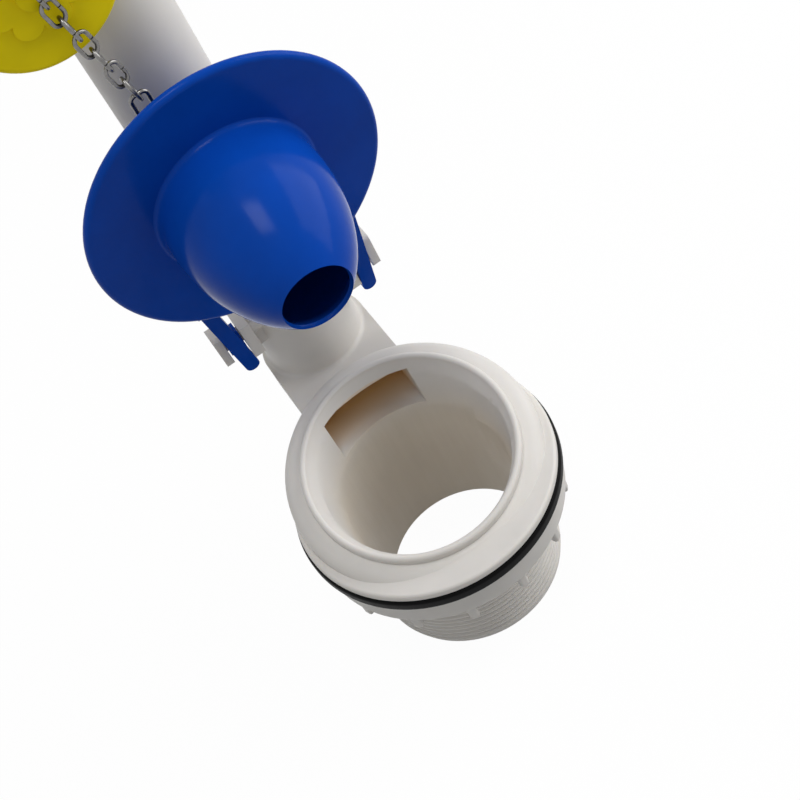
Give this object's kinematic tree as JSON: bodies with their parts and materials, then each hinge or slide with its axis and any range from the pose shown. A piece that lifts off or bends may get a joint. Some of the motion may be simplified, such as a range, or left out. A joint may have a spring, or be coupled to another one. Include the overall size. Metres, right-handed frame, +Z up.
{
  "type": "toilet flush valve",
  "caption": "Toilet flush valve with a tilted seat on a threaded outlet shank, an overflow tube on a side arm, a hinged flapper with a hollow bulb, and a lift chain with a float.",
  "frame": {"origin": "centre of the outlet at the lower end of the threaded shank", "axes": "+Z up along the shank, +Y towards the overflow tube, X along the flapper hinge"},
  "size_m": [0.086, 0.123, 0.2597],
  "materials": {
    "white_plastic": "satin moulded",
    "nut_plastic": "satin moulded",
    "black_rubber": "matte",
    "blue_rubber": "glossy moulded",
    "steel_wire": "bright drawn wire",
    "yellow_foam": "satin moulded foam"
  },
  "bodies": {
    "valve": {"valve_body": "white_plastic", "overflow_elbow": "white_plastic", "overflow_tube": "white_plastic", "tank_gasket": "black_rubber"},
    "nut": {"lock_nut": "nut_plastic"},
    "flapper": {"flapper_disc": "blue_rubber", "flapper_bulb": "blue_rubber"},
    "clip": {"chain_clip": "steel_wire"},
    "link_01": {"chain_link_01": "steel_wire"},
    "link_02": {"chain_link_02": "steel_wire"},
    "link_03": {"chain_link_03": "steel_wire"},
    "link_04": {"chain_link_04": "steel_wire"},
    "link_05": {"chain_link_05": "steel_wire"},
    "link_06": {"chain_link_06": "steel_wire"},
    "float": {"chain_link_07": "steel_wire", "chain_float": "yellow_foam"},
    "link_08": {"chain_link_08": "steel_wire"},
    "link_09": {"chain_link_09": "steel_wire"},
    "link_10": {"chain_link_10": "steel_wire"},
    "hook": {"lever_hook": "steel_wire"}
  },
  "joints": [
    {"name": "nut_turn", "type": "hinge", "parent": "valve", "child": "nut", "pos_m": [0, 0, 0.0432], "axis": [0, 0, 1], "continuous": true},
    {"name": "flapper_swing", "type": "hinge", "parent": "valve", "child": "flapper", "pos_m": [0, 0.0559, 0.0849], "axis": [1, 0, 0], "range_deg": [0, 94.8]},
    {"name": "clip_swing", "type": "hinge", "parent": "flapper", "child": "clip", "pos_m": [-0.008, 0.04008, 0.17275], "axis": [1, 0, 0], "range_deg": [-94.8, 0]},
    {"name": "link_01_swing", "type": "hinge", "parent": "clip", "child": "link_01", "pos_m": [-0.008, 0.04008, 0.18454], "axis": [1, 0, 0], "range_deg": [-1, 12]},
    {"name": "link_02_swing", "type": "hinge", "parent": "link_01", "child": "link_02", "pos_m": [-0.00913, 0.03956, 0.19036], "axis": [-0.0166, 0.9962, 0.0856], "range_deg": [-12, 12]},
    {"name": "link_03_swing", "type": "hinge", "parent": "link_02", "child": "link_03", "pos_m": [-0.01027, 0.03904, 0.19623], "axis": [0.9816, 0, 0.1908], "range_deg": [-1, 12]},
    {"name": "link_04_swing", "type": "hinge", "parent": "link_03", "child": "link_04", "pos_m": [-0.01141, 0.03852, 0.2021], "axis": [-0.0166, 0.9962, 0.0856], "range_deg": [-12, 12]},
    {"name": "link_05_swing", "type": "hinge", "parent": "link_04", "child": "link_05", "pos_m": [-0.01255, 0.038, 0.20797], "axis": [0.9816, 0, 0.1908], "range_deg": [-1, 12]},
    {"name": "link_06_swing", "type": "hinge", "parent": "link_05", "child": "link_06", "pos_m": [-0.01369, 0.03747, 0.21383], "axis": [-0.0166, 0.9962, 0.0856], "range_deg": [-12, 12]},
    {"name": "float_swing", "type": "hinge", "parent": "link_06", "child": "float", "pos_m": [-0.01483, 0.03695, 0.2197], "axis": [0.9816, 0, 0.1908], "range_deg": [-1, 12]},
    {"name": "link_08_swing", "type": "hinge", "parent": "float", "child": "link_08", "pos_m": [-0.01597, 0.03643, 0.22557], "axis": [-0.0166, 0.9962, 0.0856], "range_deg": [-12, 12]},
    {"name": "link_09_swing", "type": "hinge", "parent": "link_08", "child": "link_09", "pos_m": [-0.01711, 0.0359, 0.23144], "axis": [0.9816, 0, 0.1908], "range_deg": [-1, 12]},
    {"name": "link_10_swing", "type": "hinge", "parent": "link_09", "child": "link_10", "pos_m": [-0.01826, 0.03538, 0.2373], "axis": [-0.0166, 0.9962, 0.0856], "range_deg": [-12, 12]},
    {"name": "hook_swing", "type": "hinge", "parent": "link_10", "child": "hook", "pos_m": [-0.01939, 0.03486, 0.24317], "axis": [0.9816, 0, 0.1908], "range_deg": [-1, 12]}
  ],
  "couplings": [
    {"joint": "clip_swing", "follows": "flapper_swing", "ratio": -1}
  ]
}
